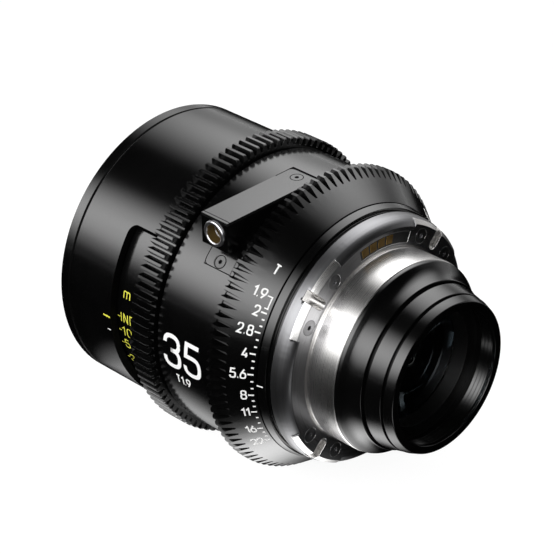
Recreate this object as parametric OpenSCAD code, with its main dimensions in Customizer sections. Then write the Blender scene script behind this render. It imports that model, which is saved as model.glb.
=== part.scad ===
// Cinema prime lens: geared focus and iris rings, a bladed iris and a four-lug camera mount.
// Every piece is drawn along +Z with the mount seat at zero and the front upwards, then laid down:
// the optical axis lies along Y, the front faces -Y, the camera side faces +Y, and Z is up.

/* [Barrel] */
// Outside diameter of the fixed barrels
barrel_d = 80; // [79:0.5:81]
// Front rim ahead of the mount seat
front_z = 80.4; // [79.8:0.2:82]
// Length of the front rim in sight
rim_length = 3.6; // [3:0.2:4.4]
// Bore of the filter thread
thread_d = 76.2; // [75:0.2:76.6]
// Depth of the filter thread
thread_depth = 5.6; // [5:0.2:6]
// Rear end of the mid barrel
mid_rear_z = 21.2; // [20.8:0.1:21.4]
// Length of the mid barrel
mid_length = 20.5; // [20:0.1:20.7]

/* [Scale windows] */
// Front edge of the windows ahead of the seat
window_front_z = 60; // [58:0.5:61]
// Half of the window's angle
window_half_angle = 40; // [34:1:44]
// Corner radius of the windows
window_corner_r = 2.5; // [1.5:0.25:3.5]
// Depth of the scale ring below the barrel
window_depth = 2.6; // [2.3:0.1:2.9]

/* [Gears] */
// Teeth on each ring
gear_teeth = 105; // [103:1:107]
// Module of the teeth
gear_module = 0.8; // [0.79:0.01:0.81]
// Depth of a tooth
tooth_depth = 2.2; // [1.8:0.1:2.4]
// Width of the focus gear
focus_gear_width = 7; // [6.4:0.2:7.4]
// Straight length of the iris teeth before the cone
iris_gear_width = 2.2; // [1.6:0.2:3]
// Wall of the iris ring at its rear edge
iris_rear_wall = 3.3; // [3:0.1:4]

/* [Movements] */
// Turn of the focus ring from infinity to the near stop
focus_turn = 150; // [120:5:160]
// Travel of the focus group
focus_travel = 3.6; // [3:0.1:3.8]
// Turn of the iris ring to each side of its drawn place
iris_half_turn = 32.3; // [28:0.5:32.5]
// Blades in the iris
blade_count = 10; // [9:1:10]
// Turn of a blade for each degree of the iris ring
blade_ratio = 0.48; // [0.44:0.01:0.48]
// Inner edge radius of a blade when it is open
blade_inner_r = 11.2; // [10.6:0.1:11.4]

/* [Camera mount] */
// Diameter of the locating barrel
locating_d = 54; // [53.6:0.1:54.2]
// Length of the locating barrel behind the seat
locating_length = 9.63; // [9.2:0.1:10]
// Thickness of the flange ahead of the seat
flange_t = 5.34; // [5.2:0.05:5.5]
// Radius of the flange at its front edge
flange_r = 34.8; // [34.4:0.1:35.2]
// Radius over the lugs
lug_r = 34.3; // [34:0.1:34.6]
// Half of a lug's angle
lug_half_angle = 19.5; // [19:0.5:21]
// Width of the slot in each lug
lug_slot_w = 3; // [2.8:0.1:3.4]
// Radius of the circle of mount screws
mount_screw_ring_r = 30.3; // [30.1:0.1:30.5]

/* [Data connector] */
// Width of the connector along the axis
connector_w = 9.6; // [9.2:0.2:10]
// Middle of the connector ahead of the seat
connector_z = 27.2; // [27:0.1:27.6]
// End face of the connector from the axis
connector_end_x = 31.6; // [31:0.2:32.4]
// Thickness of the connector's cover
cover_t = 0.8; // [0.6:0.1:1]
// Outside radius of the socket ring
socket_r = 3.6; // [3.4:0.1:3.8]

/* [Rear barrel] */
// Rear rim behind the seat
rear_z = 24.2; // [23.8:0.2:25]
// Radius of the rear rim
rear_rim_r = 21; // [20.8:0.1:21.3]
// Radius of the bore in the rear rim
rear_bore_r = 18.7; // [18.4:0.1:19]

/* [Hidden] */
$fn = 96;
spare = 1;
run_fit = 0.05;
ring_gap = 0.6;
edge = 0.4;
barrel_r = barrel_d / 2;

// Front end
seam_z = front_z - rim_length;
thread_r = thread_d / 2;
thread_end_z = front_z - thread_depth;
rim_lip_t = 2.5;
rim_rear_z = thread_end_z - rim_lip_t;
rim_lip_w = 2.1;
rim_lip_r = thread_r - rim_lip_w;
spigot_step = 1;
spigot_r = barrel_r - spigot_step;

// Inner tube that everything is built on
barrel_room = 5.7;
tube_r = barrel_r - barrel_room;
tube_step = 1.3;
tube_rear_r = tube_r - tube_step;
tube_step_z = mid_rear_z + 0.2;
tube_front_z = 69.5;
tube_wall = 3.3;
tube_front_bore_r = tube_r - tube_wall;
tube_rear_wall = 6;
tube_rear_bore_r = tube_rear_r - tube_rear_wall;
tube_bore_step_z = 40;
shim_t = 0.2;
tube_rear_z = flange_t + shim_t;
web_z = 62.4;
web_t = 3;

// Focus ring
scale_r = barrel_r - window_depth;
hub_wall = 1.3;
hub_r = tube_r + hub_wall;
mid_front_z = mid_rear_z + mid_length;
focus_rear_z = mid_front_z + 0.7;
focus_front_z = focus_rear_z + focus_gear_width;
front_barrel_rear_z = focus_front_z + 0.7;
tip_r = gear_module * (gear_teeth + 2) / 2;
root_r = tip_r - tooth_depth;
hub_front_z = 60.4;
scale_front_z = 61.6;
scale_bore_r = scale_r + 0.35;
focus_key_r = 2;
focus_key_z = 45.2;
focus_key_angle = 270;

// Helicoid and the group that it drives
helicoid_fit = 0.1;
helicoid_r = tube_front_bore_r - helicoid_fit;
helicoid_wall = 2;
helicoid_bore_r = helicoid_r - helicoid_wall;
helicoid_z = tube_bore_step_z + 0.3;
helicoid_front_z = 49.8;
helicoid_stop_z = helicoid_front_z + 0.3;
helicoid_stop_t = 1.8;
stop_clearance = 0.3;
helicoid_stop_bore_r = helicoid_bore_r + stop_clearance;
group_r = helicoid_bore_r - helicoid_fit;
group_rear_z = 41;
group_flange_z = 54.4;
group_flange_front_z = 62;
group_clearance = 0.4;
group_flange_r = tube_front_bore_r - group_clearance;
group_wall = 3.8;
group_bore_r = group_r - group_wall;
group_lip_w = 2.5;
group_lip_r = group_bore_r - group_lip_w;
group_lip_z = 46;
group_lip_t = 1.5;
group_rim_t = 7;
group_front_curve = 70;
group_front_hollow = -200;
group_rear_t = 4.4;
group_rear_step = 1;
group_rear_curve = 180;
group_rear_hollow = -110;
group_retainer_w = 1.5;
group_retainer_t = 2.5;
group_retainer_slope = 0.65;
guide_pin_r = 1;
guide_pin_z = group_flange_z + focus_travel + 2;
guide_pin_count = 3;

// Front cell
cell_z = group_flange_front_z + 4.2;
cell_wall = 1.5;
front_glass_r = tube_front_bore_r - cell_wall;
cell_lip_w = 1.7;
cell_lip_r = front_glass_r - cell_lip_w;
cell_lip_t = 1.3;
cell_seat_z = cell_z + cell_lip_t;
front_glass_curve = 150;
front_glass_hollow = -80;
front_glass_drop = 0.4;
cell_flange_t = 2;
cell_front_z = tube_front_z + cell_flange_t;
retainer_r = rim_lip_r - 0.3;
retainer_lip_w = 0.9;
retainer_t = 1.8;
retainer_step = 0.6;
retainer_lip_t = 0.5;
retainer_slope_w = 1.6;
retainer_notch_w = 2;
retainer_notch_from = 2.4;
retainer_notch_l = 2;

// Iris unit
iris_rear_r = tube_rear_r + iris_rear_wall;
index_length = 3.06;
index_front_z = tube_rear_z + index_length;
index_groove_w = 0.9;
index_groove_wall = 1.2;
index_rear_wall = 2.3;
index_front_wall = 2.9;
iris_rear_z = index_front_z + 0.4;
iris_front_z = mid_rear_z - ring_gap;
iris_key_r = 0.8;
iris_key_z = 16.5;
iris_key_angle = 270;
drive_z = 15.2;
drive_t = 2.6;
drive_r = tube_rear_bore_r - run_fit;
blade_stack_z = drive_z + drive_t + 0.4;
blade_pitch = 0.2;
blade_t = 0.12;
housing_z = blade_stack_z + blade_count * blade_pitch + 0.1;
housing_t = 2.5;
housing_bore_margin = 0.7;
housing_bore_r = blade_inner_r + housing_bore_margin;
housing_wall = 1.4;
housing_wall_r = tube_rear_bore_r - housing_wall;
stop_ring_t = 2;
blade_pivot_inset = 8;
blade_pivot_r = tube_rear_bore_r - blade_pivot_inset;
blade_outer_inset = 1;
blade_outer_r = blade_pivot_r - blade_outer_inset;
drive_bore_inset = 3.5;
drive_bore_r = blade_pivot_r - drive_bore_inset;
blade_start_angle = -4;
blade_end_angle = 125;
blade_middle_turn = 16;
blade_lobe_r = 1.8;
blade_pin_r = 0.5;
blade_arm = [-1, -8];
blade_arm_w = 2;
slot_fit = 0.06;
slot_steps = 20;
slot_end_turn = 2.2;

// Mount
locating_r = locating_d / 2;
mount_wall = 1.8;
mount_bore_r = locating_r - mount_wall;
mount_counterbore_step = 0.8;
mount_counterbore_r = mount_bore_r + mount_counterbore_step;
mount_counterbore_z = 2.5;
seat_edge_drop = 2.7;
seat_edge_r = flange_r - seat_edge_drop;
lug_t = 2.2;
lug_chamfer = 1.1;
lug_count = 4;
lug_slot_margin = 1.4;
lug_slot_end_r = locating_r + lug_slot_margin;
lug_slot_depth = 2.6;
mount_screw_angle = 12.6;
screw_head_r = 2.1;
screw_head_t = 1.1;
screw_r = 1;
screw_grip = 3.4;
socket_key_r = 0.65;
socket_key_t = 0.7;
contact_from = 77;
contact_to = 113;
contact_margin = 1.1;
contact_inner_r = locating_r + contact_margin;
contact_w = 3.1;
contact_outer_r = contact_inner_r + contact_w;
contact_t = 3;
contact_drop = 0.15;
pad_drop = 0.05;
pad_inner_margin = 0.4;
pad_outer_margin = 0.3;
pad_count = 4;
pad_from = 78.5;
pad_pitch = 5.8;
pad_angle = 4.6;
pad_t = 1;

// Rear barrel and cell
shoulder_step = 0.2;
shoulder_r = locating_r - shoulder_step;
rear_tube_r = 20.2;
rear_cell_z = -16.5;
rear_flange_t = 2.4;
rear_cell_front_z = 12.4;
rear_cell_r = 22;
rear_glass_r = 17.2;
rear_lip_w = 1.6;
rear_lip_r = rear_glass_r - rear_lip_w;
rear_lip_t = 1.4;
rear_seat_z = -12;
rear_rim_t = 3;
rear_glass_front_z = 4.2;
rear_spacer_t = 1.2;
rear_spacer_slope = 0.5;
rear_outer_curve = 46;
rear_outer_front_curve = 90;
rear_inner_curve = 60;
rear_inner_hollow = -48;
rear_retainer_slope = 0.75;
rear_retainer_w = 0.6;

// Connector
pocket_depth = 2;
pocket_floor_r = barrel_r - pocket_depth;
cover_y = barrel_r;
block_top_y = cover_y - cover_t;
block_height = 8.6;
block_bottom_y = cover_y - block_height;
cover_far_x = -1.2;
pocket_from = 38.4;
pocket_to = 92.4;
socket_drop = 4.5;
socket_y = cover_y - socket_drop;
socket_wall = 1.1;
socket_bore_r = socket_r - socket_wall;
socket_depth = 6;
socket_nose = 0.6;
plug_depth = 2.4;
insert_step = 0.3;
insert_r = socket_bore_r - insert_step;
pin_count = 5;
pin_r = 0.3;
tab_screw_angle = 41.5;
cover_screw_x = 1.9;
cover_screw_l = 1.7;

// Shared shapes

// A turned piece from its half outline, given as [radius, height] points
module turned(outline) {
    rotate_extrude() polygon(outline);
}

// A plain ring between two heights
module ring(outer, inner, low, high) {
    turned([[inner, low], [outer, low], [outer, high], [inner, high]]);
}

// Part of a ring between two angles
module sector(inner, outer, from, to, low, high) {
    rotate([0, 0, from]) rotate_extrude(angle = to - from)
        translate([inner, low]) square([outer - inner, high - low]);
}

// A pin that points outwards from the axis
module radial_pin(angle, height, radius, from, to) {
    rotate([0, 0, angle]) translate([from, 0, height]) rotate([0, 90, 0])
        cylinder(r = radius, h = to - from);
}

// Toothed outline: each tooth has two corners at the root and two at the tip
module gear_outline() {
    pitch = 360 / gear_teeth;
    root_half = 0.39 * pitch;
    tip_half = 0.15 * pitch;
    polygon([for (tooth = [0:gear_teeth - 1]) for (corner = [[root_r, -root_half], [tip_r, -tip_half],
                                                             [tip_r, tip_half], [root_r, root_half]])
        corner[0] * [cos(tooth * pitch + corner[1]), sin(tooth * pitch + corner[1])]]);
}

// Countersunk screw with a hexagon socket, head at zero and the shank upwards
module countersunk_screw(length) {
    difference() {
        turned([[0, 0], [screw_head_r, 0], [screw_head_r, 0.2], [screw_r, screw_head_t], [screw_r, length],
                [0, length]]);
        translate([0, 0, -spare]) cylinder(r = socket_key_r, h = socket_key_t + spare, $fn = 6);
    }
}

// The hole that such a screw fills
module countersunk_hole(length) {
    turned([[0, -spare], [screw_head_r, -spare], [screw_head_r, 0.2], [screw_r, screw_head_t],
            [screw_r, length], [0, length]]);
}

// A glass element: front and rear are the heights of its rim. A positive curve bulges outwards from the
// rim, and a negative one is ground hollow inside a flat edge.
module glass(radius, rear, front, rear_curve, front_curve) {
    $fn = 240;
    flat_edge = 1;
    front_sag = sag(front_curve, front_curve > 0 ? radius : radius - flat_edge);
    rear_sag = sag(rear_curve, rear_curve > 0 ? radius : radius - flat_edge);
    difference() {
        intersection() {
            translate([0, 0, rear - max(rear_sag, 0)])
                cylinder(r = radius, h = front - rear + max(rear_sag, 0) + max(front_sag, 0));
            if (front_curve > 0) translate([0, 0, front + front_sag - front_curve]) sphere(r = front_curve);
            if (rear_curve > 0) translate([0, 0, rear - rear_sag + rear_curve]) sphere(r = rear_curve);
        }
        if (front_curve < 0) translate([0, 0, front + front_sag - front_curve]) sphere(r = -front_curve);
        if (rear_curve < 0) translate([0, 0, rear - rear_sag + rear_curve]) sphere(r = -rear_curve);
    }
}

// Height of a curved face at its middle, above its rim
function sag(curve, radius) = curve > 0 ? curve - sqrt(curve * curve - radius * radius)
                                        : curve + sqrt(curve * curve - radius * radius);

// Front end

module front_rim() {
    color([0.06, 0.06, 0.07]) turned([
        [rim_lip_r, rim_rear_z], [spigot_r, rim_rear_z], [spigot_r, seam_z], [barrel_r - edge, seam_z],
        [barrel_r, seam_z + edge], [barrel_r, front_z - edge], [barrel_r - edge, front_z],
        [thread_r + edge, front_z], [thread_r, front_z - edge], [thread_r, thread_end_z],
        [rim_lip_r, thread_end_z - edge]]);
}

module window_cut() {
    half_width = barrel_r * sin(window_half_angle);
    low = front_barrel_rear_z - spare;
    inner = window_corner_r;
    translate([scale_r - 8, 0, 0]) rotate([90, 0, 90]) linear_extrude(14) {
        translate([-half_width, low]) square([2 * half_width, window_front_z - inner - low]);
        translate([-half_width + inner, low]) square([2 * (half_width - inner), window_front_z - low]);
        for (side = [-1, 1]) translate([side * (half_width - inner), window_front_z - inner]) circle(r = inner);
    }
}

module front_barrel() {
    color([0.06, 0.06, 0.07]) difference() {
        turned([
            [scale_bore_r, front_barrel_rear_z], [barrel_r - edge, front_barrel_rear_z],
            [barrel_r, front_barrel_rear_z + edge], [barrel_r, seam_z - edge], [barrel_r - edge, seam_z],
            [spigot_r, seam_z], [spigot_r, rim_rear_z], [scale_bore_r, rim_rear_z], [scale_bore_r, web_z + web_t],
            [tube_r, web_z + web_t], [tube_r, web_z], [scale_bore_r, web_z]]);
        window_cut();
        mirror([1, 0, 0]) window_cut();
    }
}

module front_retainer() {
    inner_r = front_glass_r - retainer_lip_w;
    color([0.05, 0.05, 0.05]) difference() {
        turned([
            [inner_r, cell_front_z], [retainer_r, cell_front_z], [retainer_r, cell_front_z + retainer_t],
            [front_glass_r + retainer_slope_w, cell_front_z + retainer_t - retainer_step],
            [inner_r, cell_front_z + retainer_lip_t]]);
        for (side = [0, 180]) rotate([0, 0, side])
            translate([front_glass_r + retainer_notch_from, -retainer_notch_w / 2, cell_front_z + retainer_step])
                cube([retainer_notch_l, retainer_notch_w, retainer_t + spare]);
    }
}

module front_cell() {
    color([0.07, 0.07, 0.07]) turned([
        [cell_lip_r, cell_z], [tube_front_bore_r, cell_z], [tube_front_bore_r, tube_front_z],
        [tube_r, tube_front_z], [tube_r, cell_front_z], [front_glass_r, cell_front_z],
        [front_glass_r, cell_seat_z], [cell_lip_r, cell_seat_z]]);
}

module front_element() {
    color([0.5, 0.6, 0.62, 0.5]) glass(front_glass_r, cell_seat_z,
        cell_front_z - front_glass_drop, front_glass_hollow, front_glass_curve);
}

// Inner tube

module main_tube() {
    focus_slot_margin = 5;
    iris_slot_margin = 4;
    color([0.12, 0.12, 0.13]) difference() {
        turned([
            [tube_rear_bore_r, tube_rear_z], [tube_rear_r, tube_rear_z], [tube_rear_r, tube_step_z],
            [tube_r, tube_step_z], [tube_r, tube_front_z], [tube_front_bore_r, tube_front_z],
            [tube_front_bore_r, tube_bore_step_z], [tube_rear_bore_r, tube_bore_step_z]]);
        sector(tube_rear_bore_r - spare, tube_r + spare, focus_key_angle - focus_slot_margin,
               focus_key_angle + focus_turn + focus_slot_margin, focus_key_z - focus_key_r - 0.3,
               focus_key_z + focus_key_r + 0.3);
        sector(tube_rear_bore_r - spare, tube_r + spare, iris_key_angle - iris_half_turn - iris_slot_margin,
               iris_key_angle + iris_half_turn + iris_slot_margin, iris_key_z - iris_key_r - 0.3,
               iris_key_z + iris_key_r + 0.3);
        for (turn = [0:guide_pin_count - 1])
            radial_pin(30 + turn * 360 / guide_pin_count, guide_pin_z, guide_pin_r, tube_front_bore_r - spare,
                       tube_r + spare);
        at_mount_screws() translate([0, 0, tube_rear_z - spare]) cylinder(r = screw_r, h = screw_grip + spare);
    }
}

module helicoid_stop() {
    color([0.1, 0.1, 0.1])
        ring(tube_front_bore_r, helicoid_stop_bore_r, helicoid_stop_z, helicoid_stop_z + helicoid_stop_t);
}

module guide_pins() {
    color([0.7, 0.7, 0.7]) for (turn = [0:guide_pin_count - 1])
        radial_pin(30 + turn * 360 / guide_pin_count, guide_pin_z, guide_pin_r, group_r + 0.4, tube_r - 0.3);
}

// Mid barrel with its data connector

module mid_barrel() {
    wall = 3;
    web_low = mid_rear_z + 4;
    web_high = web_low + 5;
    screw_at = connector_z;
    color([0.06, 0.06, 0.07]) difference() {
        turned([
            [barrel_r - wall, mid_rear_z], [barrel_r - edge, mid_rear_z], [barrel_r, mid_rear_z + edge],
            [barrel_r, mid_front_z - edge], [barrel_r - edge, mid_front_z], [barrel_r - wall, mid_front_z],
            [barrel_r - wall, web_high], [tube_r, web_high], [tube_r, web_low], [barrel_r - wall, web_low]]);
        sector(pocket_floor_r, barrel_r + spare, pocket_from, pocket_to, connector_z - connector_w / 2,
               connector_z + connector_w / 2);
        radial_pin(tab_screw_angle, screw_at, screw_r, pocket_floor_r - 2, barrel_r + spare);
    }
}

// Outline of the connector's body seen along the axis
module connector_outline() {
    difference() {
        union() {
            intersection() {
                translate([cover_far_x, block_bottom_y])
                    square([connector_end_x - cover_far_x, block_top_y - block_bottom_y]);
                rotate([0, 0, pocket_from]) square([2 * barrel_r, 2 * barrel_r]);
            }
            intersection() {
                circle(r = barrel_r + 0.05);
                polygon([[0, 0], 60 * [cos(pocket_from + 0.4), sin(pocket_from + 0.4)], 60 * [cos(58), sin(58)]]);
            }
        }
        circle(r = pocket_floor_r);
    }
}

module connector_block() {
    wall_gap = 0.15;
    color([0.06, 0.06, 0.07]) difference() {
        translate([0, 0, connector_z - connector_w / 2 + wall_gap])
            linear_extrude(connector_w - 2 * wall_gap) connector_outline();
        translate([connector_end_x - socket_depth, socket_y, connector_z]) rotate([0, 90, 0])
            cylinder(r = socket_r, h = socket_depth + spare);
        at_tab_screw() countersunk_hole(6);
        at_cover_screw() countersunk_hole(cover_screw_l + 0.2);
    }
}

module connector_cover() {
    corner = 1.2;
    wall_gap = 0.15;
    half = connector_w / 2 - wall_gap;
    far_x = cover_far_x + 0.2;
    color([0.1, 0.1, 0.11]) difference() {
        translate([0, block_top_y, connector_z]) rotate([-90, 0, 0]) linear_extrude(cover_t) {
            translate([far_x + corner, -half]) square([connector_end_x - far_x - corner, 2 * half]);
            translate([far_x, -half + corner]) square([2 * corner, 2 * (half - corner)]);
            for (side = [-1, 1]) translate([far_x + corner, side * (half - corner)]) circle(r = corner);
        }
        at_cover_screw() countersunk_hole(6);
    }
}

module at_tab_screw() {
    rotate([0, 0, tab_screw_angle]) translate([barrel_r, 0, connector_z]) rotate([0, -90, 0]) children();
}

module at_cover_screw() {
    translate([cover_screw_x, cover_y, connector_z]) rotate([90, 0, 0]) children();
}

module connector_screws() {
    color([0.09, 0.09, 0.09]) {
        at_tab_screw() countersunk_screw(3.8);
        at_cover_screw() countersunk_screw(cover_screw_l);
    }
}

module connector_socket() {
    color([0.85, 0.85, 0.87]) translate([connector_end_x, socket_y, connector_z]) rotate([0, 90, 0]) turned([
        [insert_r, -socket_depth], [socket_r, -socket_depth], [socket_r, socket_nose - 0.3],
        [socket_r - 0.3, socket_nose], [socket_bore_r + 0.3, socket_nose], [socket_bore_r, socket_nose - 0.3],
        [socket_bore_r, -plug_depth], [insert_r, -plug_depth]]);
}

module at_pins() {
    for (turn = [0:pin_count - 1]) rotate([0, 0, turn * 360 / pin_count])
        translate([socket_bore_r * 0.55, 0, 0]) children();
}

module connector_insert() {
    color([0.2, 0.14, 0.08]) translate([connector_end_x - socket_depth, socket_y, connector_z]) rotate([0, 90, 0])
        difference() {
            cylinder(r = insert_r, h = socket_depth - plug_depth - 0.4);
            at_pins() translate([0, 0, -spare]) cylinder(r = pin_r, h = socket_depth + spare);
        }
}

module connector_pins() {
    color([0.85, 0.65, 0.25]) translate([connector_end_x - socket_depth, socket_y, connector_z]) rotate([0, 90, 0])
        at_pins() cylinder(r = pin_r, h = socket_depth - plug_depth - 0.05);
}

// Camera mount

module at_mount_screws() {
    for (lug = [0:lug_count - 1]) for (side = [-1, 1])
        rotate([0, 0, 45 + lug * 360 / lug_count + side * mount_screw_angle])
            translate([mount_screw_ring_r, 0, 0]) children();
}

module index_ring() {
    groove_r = tube_rear_r + index_groove_wall;
    groove_z = tube_rear_z + index_groove_w;
    color([0.1, 0.1, 0.1]) turned([
        [tube_rear_r, tube_rear_z], [groove_r, tube_rear_z], [groove_r, groove_z],
        [tube_rear_r + index_rear_wall, groove_z], [tube_rear_r + index_front_wall, index_front_z],
        [tube_rear_r, index_front_z]]);
}

// Flange outline with its rounded rear edge, drawn from an arc that meets the seat at a small angle
module flange_outline() {
    arc_z = 3.6;
    drop = flange_r - seat_edge_r;
    arc_r = (arc_z * arc_z + drop * drop) / (2 * drop);
    undercut = 0.35;
    intersection() {
        polygon([
            [mount_bore_r, -locating_length], [locating_r - 0.3, -locating_length],
            [locating_r, -locating_length + 0.3], [locating_r, -0.9], [locating_r - undercut, -0.8],
            [locating_r - undercut, -0.1], [locating_r + 0.5, 0], [flange_r, 0], [flange_r, flange_t - edge],
            [flange_r - edge, flange_t], [mount_counterbore_r, flange_t], [mount_counterbore_r, mount_counterbore_z],
            [mount_bore_r, mount_counterbore_z]]);
        union() {
            translate([flange_r - arc_r, arc_z]) circle(r = arc_r);
            translate([0, arc_z]) square([flange_r + spare, flange_t]);
            translate([0, -locating_length - spare]) square([flange_r - arc_r, locating_length + flange_t + spare]);
        }
    }
}

module lug(angle) {
    rotate([0, 0, angle - lug_half_angle]) rotate_extrude(angle = 2 * lug_half_angle) polygon([
        [seat_edge_r - 2, 0], [lug_r - lug_chamfer, 0], [lug_r, lug_chamfer], [lug_r, lug_t], [seat_edge_r - 2, lug_t]]);
}

module lug_slot(angle) {
    half = lug_slot_w / 2;
    rotate([0, 0, angle]) translate([0, 0, -spare]) linear_extrude(lug_slot_depth + spare) {
        translate([lug_slot_end_r + half, 0]) circle(r = half);
        translate([lug_slot_end_r + half, -half]) square([12, lug_slot_w]);
    }
}

module lens_mount() {
    color([0.75, 0.75, 0.76]) difference() {
        union() {
            rotate_extrude() flange_outline();
            for (turn = [0:lug_count - 1]) lug(45 + turn * 360 / lug_count);
        }
        for (turn = [0:lug_count - 1]) lug_slot(45 + turn * 360 / lug_count);
        at_mount_screws() countersunk_hole(flange_t + spare);
        sector(contact_inner_r, contact_outer_r, contact_from, contact_to, -spare, contact_t);
    }
}

module mount_screws() {
    color([0.55, 0.55, 0.56]) at_mount_screws() countersunk_screw(tube_rear_z + screw_grip - 0.3);
}

module mount_shim() {
    color([0.6, 0.5, 0.3]) difference() {
        ring(tube_rear_r - 0.2, tube_rear_bore_r + 0.2, flange_t, tube_rear_z);
        at_mount_screws() cylinder(r = screw_r, h = 4 * flange_t);
    }
}

module at_pads() {
    for (pad = [0:pad_count - 1]) rotate([0, 0, pad_from + pad * pad_pitch]) children();
}

module contact_block() {
    color([0.03, 0.03, 0.03]) difference() {
        sector(contact_inner_r, contact_outer_r, contact_from, contact_to, contact_drop, contact_t);
        at_pads() sector(contact_inner_r + pad_inner_margin, contact_outer_r - pad_outer_margin, 0, pad_angle,
                         -spare, pad_t);
    }
}

module contact_pads() {
    color([0.85, 0.65, 0.25]) at_pads()
        sector(contact_inner_r + pad_inner_margin, contact_outer_r - pad_outer_margin, 0, pad_angle,
               pad_drop, pad_t);
}

// Rear barrel and the optics in it

module rear_barrel() {
    groove_1_z = -15.7;
    groove_2_z = -20.9;
    groove_t = 0.8;
    waist_r = rear_rim_r + 2.6;
    land_r = rear_rim_r + 2;
    collar_r = rear_rim_r + 0.9;
    rim_step = 1.4;
    bore_step = 0.6;
    color([0.04, 0.04, 0.04]) turned([
        [rear_tube_r, mount_counterbore_z], [rear_tube_r, -rear_z + 4 * rim_step],
        [rear_bore_r + 2 * bore_step, -rear_z + 4 * rim_step], [rear_bore_r + 2 * bore_step, -rear_z + 2 * rim_step],
        [rear_bore_r + bore_step, -rear_z + 2 * rim_step], [rear_bore_r + bore_step, -rear_z + rim_step],
        [rear_bore_r, -rear_z + rim_step], [rear_bore_r, -rear_z + edge], [rear_bore_r + edge, -rear_z],
        [rear_rim_r - edge, -rear_z], [rear_rim_r, -rear_z + edge], [collar_r, groove_2_z - groove_t],
        [collar_r - 0.9, groove_2_z - groove_t], [collar_r - 0.9, groove_2_z], [collar_r + 0.1, groove_2_z],
        [land_r, groove_1_z - groove_t], [land_r - 0.8, groove_1_z - groove_t], [land_r - 0.8, groove_1_z],
        [waist_r, groove_1_z], [waist_r + 0.6, groove_1_z + 1.4], [waist_r + 1.8, -12.7],
        [shoulder_r - 0.3, -11.1], [shoulder_r, -locating_length - 0.7],
        [shoulder_r, -locating_length], [mount_bore_r, -locating_length], [mount_bore_r, mount_counterbore_z]]);
}

module rear_cell() {
    spacer_top_z = rear_glass_front_z;
    color([0.07, 0.07, 0.07]) turned([
        [rear_glass_r, rear_cell_z], [rear_tube_r, rear_cell_z], [rear_tube_r, mount_counterbore_z],
        [mount_bore_r, mount_counterbore_z], [mount_bore_r, mount_counterbore_z + rear_flange_t],
        [rear_cell_r, mount_counterbore_z + rear_flange_t], [rear_cell_r, rear_cell_front_z],
        [rear_lip_r, rear_cell_front_z], [rear_lip_r, rear_cell_front_z - rear_lip_t],
        [rear_glass_r, rear_cell_front_z - rear_lip_t], [rear_glass_r, spacer_top_z]]);
}

module rear_inner_element() {
    color([0.5, 0.6, 0.62, 0.5]) glass(rear_glass_r, rear_glass_front_z,
        rear_cell_front_z - rear_lip_t, rear_inner_curve, rear_inner_hollow);
}

module rear_spacer() {
    inner_r = rear_glass_r - rear_spacer_t;
    color([0.05, 0.05, 0.05]) turned([
        [inner_r, rear_seat_z + rear_rim_t + rear_spacer_slope], [rear_glass_r, rear_seat_z + rear_rim_t],
        [rear_glass_r, rear_glass_front_z], [inner_r, rear_glass_front_z - rear_spacer_slope]]);
}

module rear_element() {
    color([0.5, 0.6, 0.62, 0.5]) glass(rear_glass_r, rear_seat_z, rear_seat_z + rear_rim_t,
        rear_outer_curve, rear_outer_front_curve);
}

module rear_retainer() {
    color([0.04, 0.04, 0.04]) turned([
        [rear_lip_r, rear_seat_z - rear_retainer_slope], [rear_glass_r, rear_seat_z], [rear_glass_r, rear_cell_z],
        [rear_glass_r - rear_retainer_w, rear_cell_z]]);
}

// Iris

module at_blades() {
    for (k = [0:blade_count - 1]) rotate([0, 0, k * 360 / blade_count]) children();
}

module iris_housing() {
    color([0.1, 0.1, 0.1]) difference() {
        turned([
            [housing_bore_r, housing_z], [housing_wall_r, housing_z], [housing_wall_r, blade_stack_z],
            [tube_rear_bore_r, blade_stack_z], [tube_rear_bore_r, housing_z + housing_t],
            [housing_bore_r + 2, housing_z + housing_t], [housing_bore_r, housing_z + 0.8]]);
        at_blades() translate([blade_pivot_r, 0, housing_z - spare])
            cylinder(r = blade_pin_r + run_fit, h = housing_t - 0.5 + spare);
    }
}

module iris_stop_ring() {
    color([0.1, 0.1, 0.1])
        ring(tube_rear_bore_r, tube_rear_bore_r - 4, drive_z - 0.3 - stop_ring_t, drive_z - 0.3);
}

// Place of a blade's drive pin when the iris ring has turned, before the ring's own turn is taken off
function turned_by(angle, point) = [point[0] * cos(angle) - point[1] * sin(angle),
                                    point[0] * sin(angle) + point[1] * cos(angle)];
function pin_place(ring_turn) = [blade_pivot_r, 0] + turned_by(blade_middle_turn + blade_ratio * ring_turn, blade_arm);

// The same place seen from the drive plate, which turns with the ring
function slot_place(ring_turn) = turned_by(-ring_turn, pin_place(ring_turn));

module drive_slot() {
    reach = iris_half_turn + slot_end_turn;
    half = blade_pin_r + slot_fit;
    turns = [for (step = [0:slot_steps]) -reach + 2 * reach * step / slot_steps];
    side = [for (turn = turns) let (along = slot_place(turn + 0.5) - slot_place(turn - 0.5))
        half * [-along[1], along[0]] / norm(along)];
    outward = [for (step = [0:slot_steps]) slot_place(turns[step]) + side[step]];
    inward = [for (step = [slot_steps:-1:0]) slot_place(turns[step]) - side[step]];
    polygon(concat(outward, inward));
}

module iris_drive_plate() {
    color([0.2, 0.2, 0.2]) difference() {
        ring(drive_r, drive_bore_r, drive_z, drive_z + drive_t);
        at_blades() translate([0, 0, drive_z - spare]) linear_extrude(drive_t + 2 * spare) drive_slot();
        radial_pin(iris_key_angle, iris_key_z, iris_key_r, drive_r - 1.6, drive_r + spare);
    }
}

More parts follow.
